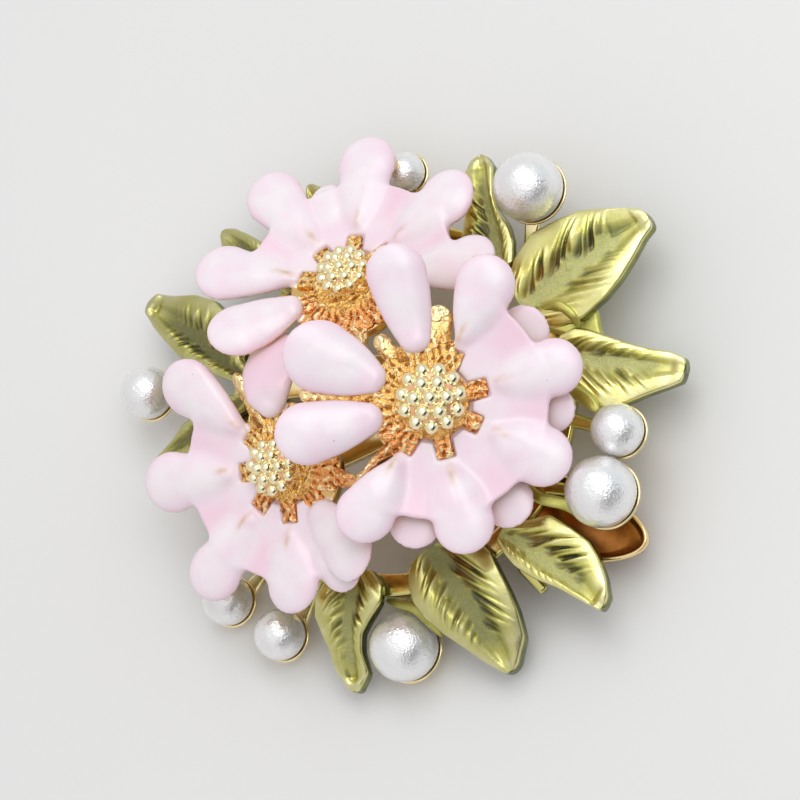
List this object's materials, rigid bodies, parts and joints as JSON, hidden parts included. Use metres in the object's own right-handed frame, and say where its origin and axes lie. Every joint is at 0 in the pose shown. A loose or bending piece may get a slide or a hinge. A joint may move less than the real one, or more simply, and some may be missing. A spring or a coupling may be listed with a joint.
{
  "type": "flower brooch",
  "caption": "Brooch of enamelled flowers with ball-studded gold hearts, cast leaves and round pearls in cups on a gilt ring, with a pin across its back.",
  "frame": {"origin": "middle of the brooch's outline, on the surface that it lies on", "axes": "+Z out of the brooch's face, +Y towards its top edge, +X towards its right edge as seen from the front"},
  "size_m": [0.0525, 0.047, 0.0194],
  "materials": {
    "gilt": "polished gilt, textured in the hearts",
    "copper_gilt": "smooth dark copper-coloured gilt",
    "pink_enamel": "soft glossy pale pink enamel",
    "leaf_lacquer": "green-gold lacquer over cast metal",
    "pearl": "satin pearl coating"
  },
  "bodies": {
    "root": {"frame": "gilt", "back_plate": "copper_gilt", "pin_clasp": "gilt", "right_flower_petals": "pink_enamel", "right_flower_under_petals": "pink_enamel", "right_flower_heart": "gilt", "top_flower_petals": "pink_enamel", "top_flower_heart": "gilt", "left_flower_petals": "pink_enamel", "left_flower_heart": "gilt", "leaf_top_right": "leaf_lacquer", "leaf_right": "leaf_lacquer", "leaf_lower_right": "leaf_lacquer", "leaf_bottom": "leaf_lacquer", "leaf_bottom_left": "leaf_lacquer", "leaf_lower_left": "leaf_lacquer", "leaf_left": "leaf_lacquer", "leaf_top_left": "leaf_lacquer", "leaf_tip": "leaf_lacquer", "leaf_top": "leaf_lacquer", "pearl_1": "pearl", "pearl_2": "pearl", "pearl_3": "pearl", "pearl_4": "pearl", "pearl_5": "pearl", "pearl_6": "pearl", "pearl_7": "pearl", "pearl_8": "pearl"}
  },
  "joints": []
}
